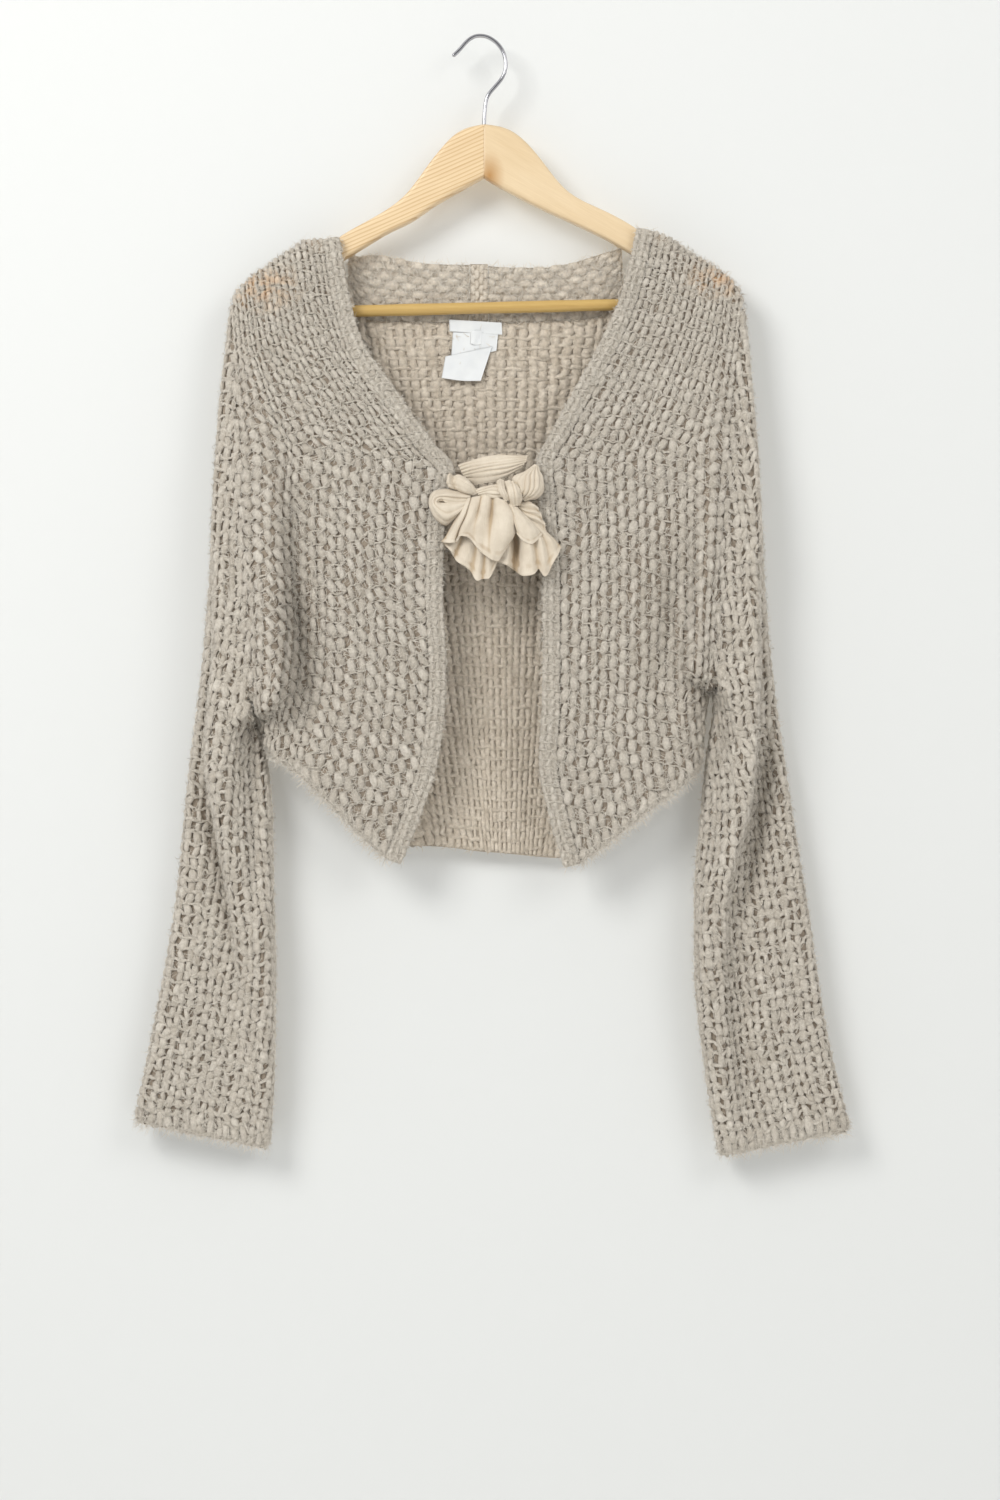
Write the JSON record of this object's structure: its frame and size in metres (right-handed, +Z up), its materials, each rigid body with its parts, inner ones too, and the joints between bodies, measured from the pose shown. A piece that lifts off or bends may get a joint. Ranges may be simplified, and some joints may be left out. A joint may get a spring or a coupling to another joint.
{
  "type": "cropped knitted cardigan on a wooden hanger",
  "caption": "Cropped open-front knitted cardigan with wide bell sleeves and a stand-up back collar, tied with a chiffon bow, hanging on a contoured wooden hanger with a wire hook.",
  "frame": {"origin": "inside top of the hook's loop, where a rail or knob carries the hanger", "axes": "+Z up, along the hook and down the garment's length; the front of the cardigan faces -Y; +X is the viewer's right"},
  "size_m": [0.6384, 0.0754, 0.9994],
  "materials": {
    "mohair_knit": "brushed bulky knit",
    "cream_chiffon": "soft crinkled chiffon",
    "white_satin": "smooth satin ribbon",
    "varnished_wood": "clear varnish",
    "golden_wood": "clear varnish",
    "chrome_wire": "polished"
  },
  "bodies": {
    "root": {"front_left": "mohair_knit", "front_right": "mohair_knit", "back": "mohair_knit", "sleeve_left": "mohair_knit", "sleeve_right": "mohair_knit", "band_left": "mohair_knit", "band_right": "mohair_knit", "collar_left": "mohair_knit", "collar_right": "mohair_knit", "collar_join": "mohair_knit", "neck_label": "white_satin", "care_label": "white_satin", "care_label_tail": "white_satin", "bow_strap": "cream_chiffon", "bow_knot": "cream_chiffon", "bow_loop_upper_left": "cream_chiffon", "bow_loop_lower_left": "cream_chiffon", "bow_loop_right": "cream_chiffon", "bow_tail_left": "cream_chiffon", "bow_tail_right": "cream_chiffon", "bow_frill": "cream_chiffon", "hanger_arm_left": "varnished_wood", "hanger_arm_right": "varnished_wood", "hanger_bar": "golden_wood", "hanger_hook": "chrome_wire"}
  },
  "joints": []
}
